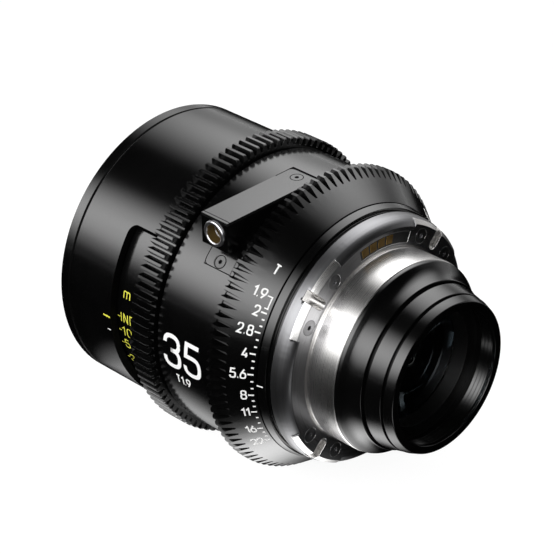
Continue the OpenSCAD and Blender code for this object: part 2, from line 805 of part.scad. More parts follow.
module blade_outline() {
    arm_length = norm(blade_arm);
    arm_angle = atan2(blade_arm[1], blade_arm[0]);
    intersection() {
        difference() {
            circle(r = blade_outer_r);
            circle(r = blade_inner_r);
        }
        polygon([[0, 0], 40 * [cos(blade_start_angle), sin(blade_start_angle)],
                 40 * [cos(35), sin(35)], 40 * [cos(80), sin(80)], 40 * [cos(blade_end_angle), sin(blade_end_angle)]]);
    }
    translate([blade_pivot_r, 0]) {
        circle(r = blade_lobe_r);
        rotate([0, 0, arm_angle]) translate([0, -blade_arm_w / 2]) square([arm_length, blade_arm_w]);
        translate(blade_arm) circle(r = blade_arm_w / 2 + 0.1);
    }
}

// One blade with its pivot pin forwards and its drive pin backwards, at its own level of the stack
module iris_blade(k) {
    level = blade_stack_z + 0.05 + k * blade_pitch;
    drive_end = drive_z + 0.4;
    color([0.15, 0.15, 0.16]) rotate([0, 0, k * 360 / blade_count])
        translate([blade_pivot_r, 0, 0]) rotate([0, 0, blade_middle_turn]) translate([-blade_pivot_r, 0, 0]) {
            translate([0, 0, level]) linear_extrude(blade_t) blade_outline();
            translate([blade_pivot_r, 0, level]) cylinder(r = blade_pin_r, h = housing_z + 1.6 - level);
            translate([blade_pivot_r + blade_arm[0], blade_arm[1], drive_end])
                cylinder(r = blade_pin_r, h = level + blade_t - drive_end);
        }
}

module iris_ring() {
    color([0.06, 0.06, 0.07]) difference() {
        intersection() {
            translate([0, 0, iris_rear_z]) linear_extrude(iris_front_z - iris_rear_z) gear_outline();
            turned([
                [0, iris_rear_z], [iris_rear_r - 0.3, iris_rear_z], [iris_rear_r, iris_rear_z + 0.4],
                [tip_r + 0.1, iris_front_z - iris_gear_width], [tip_r + 0.1, iris_front_z - edge],
                [tip_r - edge, iris_front_z], [0, iris_front_z]]);
        }
        translate([0, 0, iris_rear_z - spare]) cylinder(r = tube_rear_r + run_fit, h = iris_front_z);
        radial_pin(iris_key_angle, iris_key_z, iris_key_r, tube_rear_r - spare, iris_rear_r + 1);
    }
}

module iris_key() {
    color([0.7, 0.7, 0.7])
        radial_pin(iris_key_angle, iris_key_z, iris_key_r, drive_r - 1.6, iris_rear_r + 1);
}

// Focus

module focus_gear_ring() {
    bore_r = tube_r + run_fit;
    color([0.06, 0.06, 0.07]) difference() {
        union() {
            intersection() {
                translate([0, 0, focus_rear_z]) linear_extrude(focus_gear_width) gear_outline();
                turned([[0, focus_rear_z], [tip_r - edge, focus_rear_z], [tip_r + 0.1, focus_rear_z + edge],
                        [tip_r + 0.1, focus_front_z - edge], [tip_r - edge, focus_front_z], [0, focus_front_z]]);
            }
            cylinder_between(hub_r, focus_front_z - spare, hub_front_z);
        }
        translate([0, 0, focus_rear_z - spare]) cylinder(r = bore_r, h = hub_front_z);
        radial_pin(focus_key_angle, focus_key_z, focus_key_r, tube_r - spare, root_r - 2);
    }
}

module cylinder_between(radius, low, high) {
    translate([0, 0, low]) cylinder(r = radius, h = high - low);
}

module focus_scale_ring() {
    color([0.05, 0.05, 0.05]) ring(scale_r, hub_r, focus_front_z, scale_front_z);
}

module focus_key() {
    color([0.7, 0.7, 0.7])
        radial_pin(focus_key_angle, focus_key_z, focus_key_r, helicoid_bore_r + 0.5, root_r - 2);
}

module helicoid_ring() {
    color([0.75, 0.62, 0.35]) difference() {
        ring(helicoid_r, helicoid_bore_r, helicoid_z, helicoid_front_z);
        radial_pin(focus_key_angle, focus_key_z, focus_key_r, helicoid_bore_r + 0.5, helicoid_r + spare);
    }
}

module focus_cell() {
    groove_half = guide_pin_r + 0.1;
    color([0.1, 0.1, 0.1]) difference() {
        turned([
            [group_lip_r, group_rear_z], [group_r, group_rear_z], [group_r, group_flange_z],
            [group_flange_r, group_flange_z], [group_flange_r, group_flange_front_z],
            [group_bore_r, group_flange_front_z], [group_bore_r, group_lip_z + group_lip_t],
            [group_lip_r, group_lip_z + group_lip_t]]);
        translate([0, 0, group_rear_z - spare]) cylinder(r = group_lip_r + group_rear_step, h = group_lip_z - group_rear_z + spare);
        for (turn = [0:guide_pin_count - 1]) rotate([0, 0, 30 + turn * 360 / guide_pin_count])
            translate([group_r + 0.2, -groove_half, group_flange_z - spare])
                cube([4, 2 * groove_half, group_flange_front_z - group_flange_z + 2 * spare]);
    }
}

module focus_front_element() {
    color([0.5, 0.6, 0.62, 0.5]) glass(group_bore_r, group_lip_z + group_lip_t,
        group_lip_z + group_lip_t + group_rim_t, group_front_hollow, group_front_curve);
}

// The front face bulges under the lip that it seats on
module focus_rear_element() {
    seat_gap = 0.02;
    bulge = sag(group_rear_curve, group_lip_r + group_rear_step) - sag(group_rear_curve, group_lip_r);
    color([0.5, 0.6, 0.62, 0.5]) glass(group_lip_r + group_rear_step, group_lip_z - group_rear_t,
        group_lip_z - bulge - seat_gap, group_rear_hollow, group_rear_curve);
}

module focus_retainer() {
    rim_z = group_lip_z + group_lip_t + group_rim_t;
    inner_r = group_bore_r - group_retainer_w;
    color([0.05, 0.05, 0.05]) turned([
        [inner_r, rim_z + group_retainer_slope], [group_bore_r, rim_z], [group_bore_r, rim_z + group_retainer_t],
        [inner_r, rim_z + group_retainer_t]]);
}

// What is drawn, laid down with the front to -Y

module laid_down() {
    rotate([90, 0, 0]) children();
}

laid_down() front_rim();
laid_down() front_barrel();
laid_down() front_retainer();
laid_down() front_cell();
laid_down() front_element();
laid_down() main_tube();
laid_down() helicoid_stop();
laid_down() guide_pins();
laid_down() mid_barrel();
laid_down() connector_block();
laid_down() connector_cover();
laid_down() connector_socket();
laid_down() connector_insert();
laid_down() connector_pins();
laid_down() connector_screws();
laid_down() index_ring();
laid_down() lens_mount();
laid_down() mount_screws();
laid_down() mount_shim();
laid_down() contact_block();
laid_down() contact_pads();
laid_down() rear_barrel();
laid_down() rear_cell();
laid_down() rear_inner_element();
laid_down() rear_spacer();
laid_down() rear_element();
laid_down() rear_retainer();
laid_down() iris_housing();
laid_down() iris_stop_ring();
laid_down() focus_gear_ring();
laid_down() focus_scale_ring();
laid_down() focus_key();
laid_down() helicoid_ring();
laid_down() focus_cell();
laid_down() focus_front_element();
laid_down() focus_rear_element();
laid_down() focus_retainer();
laid_down() iris_ring();
laid_down() iris_key();
laid_down() iris_drive_plate();
for (k = [1:blade_count])
    laid_down() iris_blade(k - 1);
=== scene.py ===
"""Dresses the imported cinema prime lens: eased edges, thread, markings, finishes, light and camera."""

import math

import bmesh
import bpy
from mathutils import Matrix, Quaternion, Vector


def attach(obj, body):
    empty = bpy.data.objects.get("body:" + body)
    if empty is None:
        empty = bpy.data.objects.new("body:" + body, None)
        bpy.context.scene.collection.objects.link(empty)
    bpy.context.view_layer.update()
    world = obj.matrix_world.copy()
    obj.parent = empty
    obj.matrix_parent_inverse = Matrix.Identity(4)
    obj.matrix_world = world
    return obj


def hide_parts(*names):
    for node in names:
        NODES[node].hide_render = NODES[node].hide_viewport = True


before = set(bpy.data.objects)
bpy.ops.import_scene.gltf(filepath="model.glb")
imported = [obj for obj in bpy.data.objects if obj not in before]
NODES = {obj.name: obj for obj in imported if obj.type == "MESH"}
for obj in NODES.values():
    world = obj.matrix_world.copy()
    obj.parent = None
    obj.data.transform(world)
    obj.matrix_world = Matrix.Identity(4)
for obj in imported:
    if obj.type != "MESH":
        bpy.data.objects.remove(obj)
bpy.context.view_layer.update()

SLOT_OF = {name: node.material_slots[0].material.name.split(".")[0] for name, node in NODES.items()}
MM = 0.001

# The camera stands where the photograph was taken from
CAMERA_PLACE = Vector((380.23, 347.66, 325.07)) * MM
CAMERA_AIM = Vector((16.877, -20.0, 19.329)) * MM
CAMERA_ROLL = math.radians(-1.029)
CAMERA_LENS = 151.33
SENSOR_WIDTH = 36.0
CAMERA_CLIP = 0.01

# Turned surfaces that carry markings, in mm: radii, and distances ahead of the mount seat
BARREL_R = 40.0
SCALE_RING_R = 37.4
INDEX_RING_R = 35.3
INDEX_RING_SLOPE = 0.278
INDEX_RING_START = 6.44
CONE_REAR_R = 36.3
CONE_REAR = 9.4
CONE_SLOPE = 6.6 / 9.0

# Both sides carry the same marks: the side's angle, and which way its words run,
# 1 to the rear and -1 to the front
NEAR_SIDE = (0, 1)
FAR_SIDE = (180, -1)

# Places where a piece changes its finish or gets painted shade, in mm
FLANGE_R = 34.8
FLANGE_ARC_R = 3.75
FLANGE_ARC_AHEAD = 3.6
SOCKET_HEIGHT = 35.5
SOCKET_BORE_R = 2.5
WINDOW_FRONT = 60.0
FRONT_SEAM = 76.8
SEAM_EDGE = 0.42

# How near a face's middle lies to such a place, in mm, and how far its direction leans
NEAR_FLANGE = 0.05
NEAR_SEAT = 0.02
NEAR_EDGE = 0.1
SIDEWAYS = 0.5
SLOPED = 0.3

# Connector on the middle barrel
CONNECTOR_AHEAD = 27.2
COVER_TOP = 40.0

# Filter thread in the front rim
THREAD_R = 38.1
THREAD_DEPTH = 0.42
THREAD_SINK = 0.05
THREAD_ROOT_HALF = 0.36
THREAD_CREST_HALF = 0.06
THREAD_PITCH = 0.75
THREAD_REAR = 75.3
THREAD_FRONT = 79.7
THREAD_STEPS = 120
THREAD_FADE_STEPS = THREAD_STEPS / 4


def at(radius, angle, ahead):
    """A point from its radius, its angle in degrees and its distance ahead of the mount seat, in mm."""
    turn = math.radians(angle)
    return Vector((radius * math.cos(turn), -ahead, radius * math.sin(turn))) * MM


# Node groups that several finishes share

def new_group(name, inputs, outputs):
    """An empty shader group with its named sockets, and its input and output nodes."""
    group = bpy.data.node_groups.new(name, "ShaderNodeTree")
    for label, value in inputs:
        socket = group.interface.new_socket(name=label, in_out="INPUT", socket_type="NodeSocketFloat")
        socket.default_value = value
    for label in outputs:
        group.interface.new_socket(name=label, in_out="OUTPUT", socket_type="NodeSocketFloat")
    return group, group.nodes.new("NodeGroupInput"), group.nodes.new("NodeGroupOutput")


def math_node(tree, operation, first, second=None):
    """A Math node with each input linked or set, and its output socket."""
    node = tree.nodes.new("ShaderNodeMath")
    node.operation = operation
    for socket, source in zip(node.inputs, (first, second)):
        if source is None:
            continue
        if isinstance(source, (int, float)):
            socket.default_value = source
        else:
            tree.links.new(source, socket)
    return node.outputs[0]


def make_lathe_lines():
    """Fine lines left by turning, which run round the optical axis."""
    group, given, result = new_group("lathe_lines", [("Lines per mm", 4.0), ("Waviness", 2.0)], ["Lines"])
    nodes, links = group.nodes, group.links
    place = nodes.new("ShaderNodeTexCoord")
    split = nodes.new("ShaderNodeSeparateXYZ")
    across = nodes.new("ShaderNodeCombineXYZ")
    radius = nodes.new("ShaderNodeVectorMath")
    radius.operation = "LENGTH"
    flat = nodes.new("ShaderNodeCombineXYZ")
    noise = nodes.new("ShaderNodeTexNoise")
    noise.noise_dimensions = "2D"
    links.new(place.outputs["Object"], split.inputs[0])
    links.new(split.outputs["X"], across.inputs["X"])
    links.new(split.outputs["Z"], across.inputs["Y"])
    links.new(across.outputs[0], radius.inputs[0])
    links.new(radius.outputs["Value"], flat.inputs["X"])
    links.new(split.outputs["Y"], flat.inputs["Y"])
    links.new(flat.outputs[0], noise.inputs["Vector"])
    links.new(math_node(group, "DIVIDE", given.outputs["Lines per mm"], MM), noise.inputs["Scale"])
    links.new(given.outputs["Waviness"], noise.inputs["Detail"])
    links.new(noise.outputs["Fac"], result.inputs["Lines"])
    return group


def make_grain():
    """Fine blasted grain with a slow drift, as anodising and matt paint have."""
    group, given, result = new_group("surface_grain", [("Grain per mm", 6.0), ("Drift per mm", 0.08)],
                                     ["Grain", "Drift"])
    nodes, links = group.nodes, group.links
    place = nodes.new("ShaderNodeTexCoord")
    for label, detail in (("Grain", 3.0), ("Drift", 2.0)):
        noise = nodes.new("ShaderNodeTexNoise")
        noise.inputs["Detail"].default_value = detail
        links.new(place.outputs["Object"], noise.inputs["Vector"])
        links.new(math_node(group, "DIVIDE", given.outputs[label + " per mm"], MM), noise.inputs["Scale"])
        links.new(noise.outputs["Fac"], result.inputs[label])
    return group


LATHE_LINES = make_lathe_lines()
GRAIN = make_grain()


# Finishes

# The part of a mask's range that is spread over a finish
MASK_LOW = 0.3
MASK_HIGH = 0.7

# Blacks and greys are a little cool
COOL = 1.03


class Finish:
    """A material with one Principled shader, and short calls that wire its surface detail."""

    def __init__(self, name, metallic=0.0, ior=1.5):
        self.material = bpy.data.materials.new(name)
        self.material.use_nodes = True
        self.tree = self.material.node_tree
        self.shader = self.tree.nodes["Principled BSDF"]
        self.shader.inputs["Metallic"].default_value = metallic
        self.shader.inputs["IOR"].default_value = ior

    def effect(self, group, **values):
        """Places a node group with its own values."""
        node = self.tree.nodes.new("ShaderNodeGroup")
        node.node_tree = group
        for label, value in values.items():
            node.inputs[label.replace("_", " ")].default_value = value
        return node

    def span(self, source, low, high):
        """Maps a mask to a range of values."""
        node = self.tree.nodes.new("ShaderNodeMapRange")
        node.inputs["From Min"].default_value = MASK_LOW
        node.inputs["From Max"].default_value = MASK_HIGH
        node.inputs["To Min"].default_value = low
        node.inputs["To Max"].default_value = high
        self.tree.links.new(source, node.inputs["Value"])
        return node.outputs["Result"]

    def feed(self, source, target):
        """Links a value to one of the shader's inputs."""
        self.tree.links.new(source, self.shader.inputs[target])

    def colour(self, source, dark, light):
        """Mixes two colours by a mask."""
        ramp = self.tree.nodes.new("ShaderNodeValToRGB")
        ramp.color_ramp.elements[0].position = MASK_LOW
        ramp.color_ramp.elements[0].color = (*dark, 1)
        ramp.color_ramp.elements[1].position = MASK_HIGH
        ramp.color_ramp.elements[1].color = (*light, 1)
        self.tree.links.new(source, ramp.inputs["Fac"])
        self.feed(ramp.outputs["Color"], "Base Color")

    def relief(self, source, strength, depth_mm):
        """Raises the surface by a mask."""
        bump = self.tree.nodes.new("ShaderNodeBump")
        bump.inputs["Strength"].default_value = strength
        bump.inputs["Distance"].default_value = depth_mm * MM
        self.tree.links.new(source, bump.inputs["Height"])
        self.feed(bump.outputs["Normal"], "Normal")


def grey(level):
    """A grey of one level."""
    return (level, level, level * COOL)


def anodised(name, dark, light, smooth, rough, gloss=0.5):
    """Anodised or moulded surface with a fine grain."""
    finish = Finish(name, ior=1.62)
    finish.shader.inputs["Specular IOR Level"].default_value = gloss
    grain = finish.effect(GRAIN, Grain_per_mm=7.0, Drift_per_mm=0.1)
    finish.colour(grain.outputs["Drift"], dark, light)
    finish.feed(finish.span(grain.outputs["Grain"], smooth, rough), "Roughness")
    finish.relief(grain.outputs["Grain"], strength=0.03, depth_mm=0.01)
    return finish.material


def turned_metal(name, dark, light, smooth, rough):
    """Bare metal with the lines of the lathe."""
    finish = Finish(name, metallic=1.0)
    turning = finish.effect(LATHE_LINES, Lines_per_mm=5.0, Waviness=3.0)
    finish.colour(turning.outputs["Lines"], dark, light)
    finish.feed(finish.span(turning.outputs["Lines"], smooth, rough), "Roughness")
    finish.relief(turning.outputs["Lines"], strength=0.03, depth_mm=0.004)
    return finish.material


def plain_metal(name, dark, light, smooth, rough):
    """Bare metal with a fine grain."""
    finish = Finish(name, metallic=1.0)
    grain = finish.effect(GRAIN, Grain_per_mm=8.0, Drift_per_mm=0.5)
    finish.colour(grain.outputs["Drift"], dark, light)
    finish.feed(finish.span(grain.outputs["Grain"], smooth, rough), "Roughness")
    return finish.material


def coated_glass(name):
    """Clear glass with a faint blue coating."""
    finish = Finish(name, ior=1.6)
    shader = finish.shader
    shader.inputs["Transmission Weight"].default_value = 1.0
    shader.inputs["Specular IOR Level"].default_value = 0.08
    shader.inputs["Specular Tint"].default_value = (0.55, 0.75, 0.95, 1)
    grain = finish.effect(GRAIN, Grain_per_mm=0.4, Drift_per_mm=0.05)
    finish.colour(grain.outputs["Drift"], dark=(0.90, 0.95, 0.93), light=(0.95, 0.97, 0.96))
    finish.feed(finish.span(grain.outputs["Grain"], low=0.0, high=0.02), "Roughness")
    return finish.material


def marking_paint(name, thin, thick, gloss=0.5):
    """Paint filled into the engraved marks, and near-black paint that stands for the shade in gaps."""
    finish = Finish(name)
    finish.shader.inputs["Specular IOR Level"].default_value = gloss
    grain = finish.effect(GRAIN, Grain_per_mm=5.0, Drift_per_mm=1.0)
    finish.colour(grain.outputs["Drift"], thin, thick)
    finish.feed(finish.span(grain.outputs["Grain"], low=0.5, high=0.6), "Roughness")
    return finish.material


FINISHES = {
    "black_anodised": anodised("black_anodised", grey(0.0010), grey(0.0018), 0.14, 0.18),
    "black_matt": anodised("black_matt", grey(0.001), grey(0.002), 0.4, 0.5, gloss=0.2),
    "black_satin": anodised("black_satin", grey(0.0010), grey(0.0018), 0.15, 0.19),
    "cover_black": anodised("cover_black", grey(0.004), grey(0.007), 0.22, 0.30),
    "coated_glass": coated_glass("coated_glass"),
    "pin_steel": plain_metal("pin_steel", grey(0.5), grey(0.6), 0.2, 0.3),
    "mount_steel": turned_metal("mount_steel", (0.64, 0.63, 0.62), (0.70, 0.69, 0.68), 0.26, 0.30),
    "screw_steel": plain_metal("screw_steel", grey(0.18), grey(0.24), 0.28, 0.36),
    "screw_black": anodised("screw_black", grey(0.003), grey(0.006), 0.18, 0.25),
    "shim_brass": plain_metal("shim_brass", (0.6, 0.45, 0.2), (0.7, 0.52, 0.25), 0.3, 0.4),
    "helicoid_brass": turned_metal("helicoid_brass", (0.6, 0.42, 0.17), (0.72, 0.53, 0.25), 0.25, 0.35),
    "insulator": anodised("insulator", grey(0.003), grey(0.006), 0.35, 0.45),
    "insert_brown": anodised("insert_brown", (0.06, 0.038, 0.010), (0.08, 0.052, 0.014), 0.35, 0.45),
    "gold": plain_metal("gold", (0.20, 0.125, 0.036), (0.27, 0.17, 0.055), 0.28, 0.38),
    "socket_chrome": plain_metal("socket_chrome", grey(0.7), grey(0.8), 0.26, 0.34),
    "iris_steel": turned_metal("iris_steel", grey(0.12), grey(0.2), 0.3, 0.4),
    "blade_steel": plain_metal("blade_steel", grey(0.03), grey(0.05), 0.35, 0.45),
}
# Partly a real satin finish and partly painted shade: the flange and the mount's rear plane are far darker
# copies of the mount's steel
FLANGE_SATIN_AND_SHADE = turned_metal("flange_satin_and_shade", grey(0.19), grey(0.22), 0.31, 0.36)
SEAT_SATIN_AND_SHADE = turned_metal("seat_satin_and_shade", grey(0.34), grey(0.38), 0.27, 0.32)
WHITE_PAINT = marking_paint("white_paint", (0.84, 0.84, 0.83), (0.90, 0.90, 0.89))
YELLOW_PAINT = marking_paint("yellow_paint", (0.74, 0.72, 0.06), (0.80, 0.78, 0.09))
# Painted shade: near-black paint that stands for the shade in gaps, on the window walls and in the front
# seam
GAP_SHADE_PAINT = marking_paint("painted_gap_shade", grey(0.0005), grey(0.001), gloss=0.05)


def paint_cad_nodes():
    """Gives every CAD node the finish of its own slot."""
    for name, node in NODES.items():
        for place in node.material_slots:
            place.material = FINISHES[SLOT_OF[name]]


# Pieces

def new_piece(name, work, body, finish):
    """Turns a bmesh into a piece that moves with a body."""
    mesh = bpy.data.meshes.new(name)
    bmesh.ops.recalc_face_normals(work, faces=work.faces)
    work.to_mesh(mesh)
    work.free()
    mesh.materials.append(finish)
    piece = bpy.data.objects.new(name, mesh)
    bpy.context.scene.collection.objects.link(piece)
    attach(piece, body)
    return piece


# Width of the rounded edges in mm, by body and node
EASED_EDGES = {
    "barrel": {
        "index_ring": 0.12, "lens_mount": 0.1, "mount_screws": 0.08, "front_barrel": 0.08,
        "connector_socket": 0.2, "contact_block": 0.08, "contact_pads": 0.12,
        "front_rim": 0.05, "front_retainer": 0.1, "rear_retainer": 0.1,
    },
    "focus_drive": {"focus_gear_ring": 0.04, "focus_scale_ring": 0.1},
}
EASED_STEPS = 2
WELD_DISTANCE = 0.0005 * MM
SHARP_ANGLE = math.radians(32)
FLAT_ANGLE = math.radians(0.2)


def eased(node_name, body, width):
    """A copy of a CAD node with its edges rounded by a width in mm, which stands for the node."""
    work = bmesh.new()
    work.from_mesh(NODES[node_name].data)
    bmesh.ops.remove_doubles(work, verts=work.verts, dist=WELD_DISTANCE)
    bmesh.ops.dissolve_limit(work, angle_limit=FLAT_ANGLE, verts=work.verts, edges=work.edges)
    piece = new_piece(node_name + "_eased", work, body, FINISHES[SLOT_OF[node_name]])
    piece.data.shade_smooth()
    bevel = piece.modifiers.new("eased_edges", "BEVEL")
    bevel.width = width * MM
    bevel.segments = EASED_STEPS
    bevel.limit_method = "ANGLE"
    bevel.angle_limit = SHARP_ANGLE
    bevel.use_clamp_overlap = False
    normals = piece.modifiers.new("flat_faces", "WEIGHTED_NORMAL")
    normals.mode = "FACE_AREA_WITH_ANGLE"
    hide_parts(node_name)
    return piece


def second_finish_or_shade(piece, finish, *tests):
    """Gives another finish, or painted shade, to the faces whose middle in mm and direction pass one of the
    tests.
    """
    piece.data.materials.append(finish)
    for face in piece.data.polygons:
        if any(test(face.center / MM, face.normal) for test in tests):
            face.material_index = len(piece.data.materials) - 1


def on_flange(middle, facing):
    """True on the arc of the flange's rear edge and on the flange's side."""
    radius = math.hypot(middle.x, middle.z)
    ahead = -middle.y
    if ahead > FLANGE_ARC_AHEAD:
        return abs(radius - FLANGE_R) < NEAR_FLANGE
    reach = math.hypot(radius - FLANGE_R + FLANGE_ARC_R, ahead - FLANGE_ARC_AHEAD)
    return abs(reach - FLANGE_ARC_R) < NEAR_FLANGE


def on_seat(middle, facing):
    """True on the mount's rear plane, the seat and the lugs."""
    return abs(middle.y) < NEAR_SEAT


def in_socket_bore(middle, facing):
    """True on the bore of the connector's socket, which runs along x."""
    radius = math.hypot(middle.y + CONNECTOR_AHEAD, middle.z - SOCKET_HEIGHT)
    return abs(facing.x) < SIDEWAYS and radius < SOCKET_BORE_R + NEAR_EDGE


def in_window_wall(middle, facing):
    """True on the walls of the two windows in the front barrel, which don't face away from the axis."""
    outward = Vector((middle.x, 0, middle.z)).normalized()
    return -middle.y < WINDOW_FRONT + NEAR_EDGE and abs(facing.dot(outward)) < SIDEWAYS


def in_front_seam(middle, facing):
    """True on the two slopes of the seam between the front rim and the front barrel."""
    return abs(middle.y + FRONT_SEAM) < SEAM_EDGE and abs(facing.y) > SLOPED


def join_rings(work, rings):
    """Faces from each ring of points to the one that follows it."""
    for ring, following in zip(rings, rings[1:]):
        for k in range(len(ring)):
            after = (k + 1) % len(ring)
            work.faces.new((ring[k], ring[after], following[after], following[k]))


def closed_bar(work, rings):
    """A bar through rings of points, with a face at each end."""
    join_rings(work, rings)
    work.faces.new(rings[0])
    work.faces.new(rings[-1])


def filter_thread():
    """The helical ridge of the filter thread, which fades into the rim at both ends."""
    work = bmesh.new()
    count = round((THREAD_FRONT - THREAD_REAR) / THREAD_PITCH * THREAD_STEPS)
    rings = []
    for step in range(count + 1):
        angle = 360 * step / THREAD_STEPS
        middle = THREAD_REAR + THREAD_PITCH * step / THREAD_STEPS
        fade = min(1.0, step / THREAD_FADE_STEPS, (count - step) / THREAD_FADE_STEPS)
        crest = THREAD_R - THREAD_DEPTH * fade
        root = THREAD_R + THREAD_SINK
        corners = [(root, -THREAD_ROOT_HALF), (crest, -THREAD_CREST_HALF),
                   (crest, THREAD_CREST_HALF), (root, THREAD_ROOT_HALF)]
        rings.append([work.verts.new(at(radius, angle, middle + side)) for radius, side in corners])
    closed_bar(work, rings)
    piece = new_piece("filter_thread", work, "barrel", FINISHES["black_anodised"])


# Rear barrel in mm: radii, distances ahead of the mount seat and how far corners are cut back for rounding
TURN_STEPS = 240
SHOULDER_R = 26.8
SHOULDER_FRONT = -9.63
SHOULDER_REAR = -10.4
SHOULDER_CUT = 0.4
COVE_R = 24.2
COVE_REAR = -12.7
COVE_CUT = 2.0
GROOVE_WIDTH = 0.8
GROOVE_CUT = 0.22
REAR_END = -24.2
RIM_R = 21.0
RIM_CUT = 0.35
RIM_BORE_R = 18.75
RIM_BORE_CUT = 0.3
RIM_BORE_FRONT = -23.1
REAR_TUBE_R = 20.2
MOUNT_BORE_R = 25.2
COUNTERBORE = 2.5
RIDGE_COUNT = 4
RIDGE_PITCH = 1.1
RIDGE_FRONT = -18.7
RIDGE_R = 19.85
RIDGE_DEPTH = 0.6
RIDGE_CREST = 0.15 * RIDGE_PITCH
RIDGE_CREST_CUT = 0.05
RIDGE_GROOVE = 0.8 * RIDGE_PITCH

# The two grooves outside: front edge, then the radius before the groove, in it and after it
GROOVES = [(-15.7, 23.6, 22.2, 23.0), (-20.9, 22.0, 21.0, 21.9)]


def rear_barrel_outline():
    """Radius, distance ahead and corner cut round the section of the rear barrel, in mm."""
    outside = [(SHOULDER_R, SHOULDER_FRONT, 0), (SHOULDER_R, SHOULDER_REAR, SHOULDER_CUT),
               (COVE_R, COVE_REAR, COVE_CUT)]
    for front, before, floor, after in GROOVES:
        rear = front - GROOVE_WIDTH
        outside += [(before, front, GROOVE_CUT), (floor, front, 0),
                    (floor, rear, 0), (after, rear, GROOVE_CUT)]
    rim = [(RIM_R, REAR_END, RIM_CUT), (RIM_BORE_R, REAR_END, RIM_BORE_CUT), (RIM_BORE_R, RIM_BORE_FRONT, 0)]
    ridges = []
    for ridge in reversed(range(RIDGE_COUNT)):
        ahead = RIDGE_FRONT - ridge * RIDGE_PITCH
        ridges.append((RIDGE_R, ahead - RIDGE_GROOVE, 0))
        ridges.append((RIDGE_R - RIDGE_DEPTH, ahead - RIDGE_CREST, RIDGE_CREST_CUT))
    inside = [(RIDGE_R, RIDGE_FRONT, 0), (REAR_TUBE_R, RIDGE_FRONT, 0), (REAR_TUBE_R, COUNTERBORE, 0),
              (MOUNT_BORE_R, COUNTERBORE, 0), (MOUNT_BORE_R, SHOULDER_FRONT, 0)]
    return outside + rim + ridges + inside


def turned_rear_barrel():
    """The rear barrel with its hollowed shoulder and ridged bore, which stands for the CAD node."""
    work = bmesh.new()
    section = rounded_corners(rear_barrel_outline())
    rings = [[work.verts.new(at(radius, 360 * step / TURN_STEPS, ahead)) for radius, ahead in section]
             for step in range(TURN_STEPS)]
    join_rings(work, rings + rings[:1])
    piece = new_piece("rear_barrel_turned", work, "barrel", FINISHES["black_satin"])
    piece.data.shade_smooth()
    piece.data.set_sharp_from_angle(angle=SHARP_ANGLE)
    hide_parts("rear_barrel")


# Markings: a pen alphabet of straight strokes with rounded corners, one unit high

# Each letter has a width and its strokes: x, y and how far each corner is cut back for rounding
ALPHABET = {
    "0": (0.60, [[(0, 0.5, 0), (0, 1, 0.3), (0.6, 1, 0.3), (0.6, 0, 0.3), (0, 0, 0.3), (0, 0.5, 0)]]),
    "1": (0.30, [[(0, 0.76, 0), (0.28, 1, 0), (0.28, 0, 0)]]),
    "2": (0.58, [[(0, 0.70, 0), (0, 1, 0.29), (0.58, 1, 0.29), (0.58, 0.55, 0.2), (0, 0, 0),
                  (0.58, 0, 0)]]),
    "3": (0.60, [[(0, 0.74, 0), (0, 1, 0.25), (0.57, 1, 0.27), (0.57, 0.54, 0.22), (0.24, 0.54, 0)],
                 [(0.24, 0.54, 0), (0.6, 0.54, 0.26), (0.6, 0, 0.27), (0, 0, 0.27), (0, 0.28, 0)]]),
    "4": (0.62, [[(0.34, 1, 0), (0, 0.24, 0), (0.62, 0.24, 0)], [(0.46, 0.5, 0), (0.46, 0, 0)]]),
    "5": (0.60, [[(0.56, 1, 0), (0.06, 1, 0), (0.04, 0.6, 0), (0.6, 0.6, 0.28), (0.6, 0, 0.28),
                  (0, 0, 0.25), (0, 0.26, 0)]]),
    "6": (0.60, [[(0.42, 1, 0), (0, 0.42, 0.2), (0, 0, 0.2), (0.6, 0, 0.3), (0.6, 0.6, 0.3),
                  (0.14, 0.6, 0)]]),
    "7": (0.56, [[(0, 1, 0), (0.56, 1, 0), (0.16, 0, 0)]]),
    "8": (0.60, [[(0.3, 0.54, 0), (0.03, 0.54, 0.22), (0.03, 1, 0.22), (0.57, 1, 0.22), (0.57, 0.54, 0.22),
                  (0.3, 0.54, 0)],
                 [(0.3, 0.54, 0), (0, 0.54, 0.26), (0, 0, 0.26), (0.6, 0, 0.26), (0.6, 0.54, 0.26),
                  (0.3, 0.54, 0)]]),
    "9": (0.60, [[(0.18, 0, 0), (0.6, 0.58, 0.2), (0.6, 1, 0.2), (0, 1, 0.3), (0, 0.4, 0.3),
                  (0.46, 0.4, 0)]]),
    ".": (0.10, [[(0, 0.05, 0), (0.1, 0.05, 0)]]),
    "T": (0.56, [[(0, 1, 0), (0.56, 1, 0)], [(0.28, 1, 0), (0.28, 0, 0)]]),
    "I": (0.0, [[(0, 0, 0), (0, 1, 0)]]),
    "N": (0.54, [[(0, 0, 0), (0, 1, 0), (0.54, 0, 0), (0.54, 1, 0)]]),
    "F": (0.46, [[(0, 0, 0), (0, 1, 0), (0.46, 1, 0)], [(0, 0.52, 0), (0.4, 0.52, 0)]]),
    "m": (0.84, [[(0, 0, 0), (0, 0.72, 0.1), (0.42, 0.72, 0.18), (0.42, 0, 0)],
                 [(0.42, 0.5, 0), (0.42, 0.72, 0.1), (0.84, 0.72, 0.18), (0.84, 0, 0)]]),
    "f": (0.36, [[(0.36, 1, 0), (0.12, 1, 0.12), (0.12, 0, 0)], [(0, 0.7, 0), (0.34, 0.7, 0)]]),
    "t": (0.36, [[(0.12, 1, 0), (0.12, 0, 0.12), (0.36, 0, 0)], [(0, 0.7, 0), (0.34, 0.7, 0)]]),
}

# How strokes become raised lines: steps round a corner, lengths in mm, and the limit of a mitre
CORNER_STEPS = 5
STROKE_STEP = 0.6
PAINT_HEIGHT = 0.02
PAINT_ROOT = -0.06
MITRE_LIMIT = 0.5


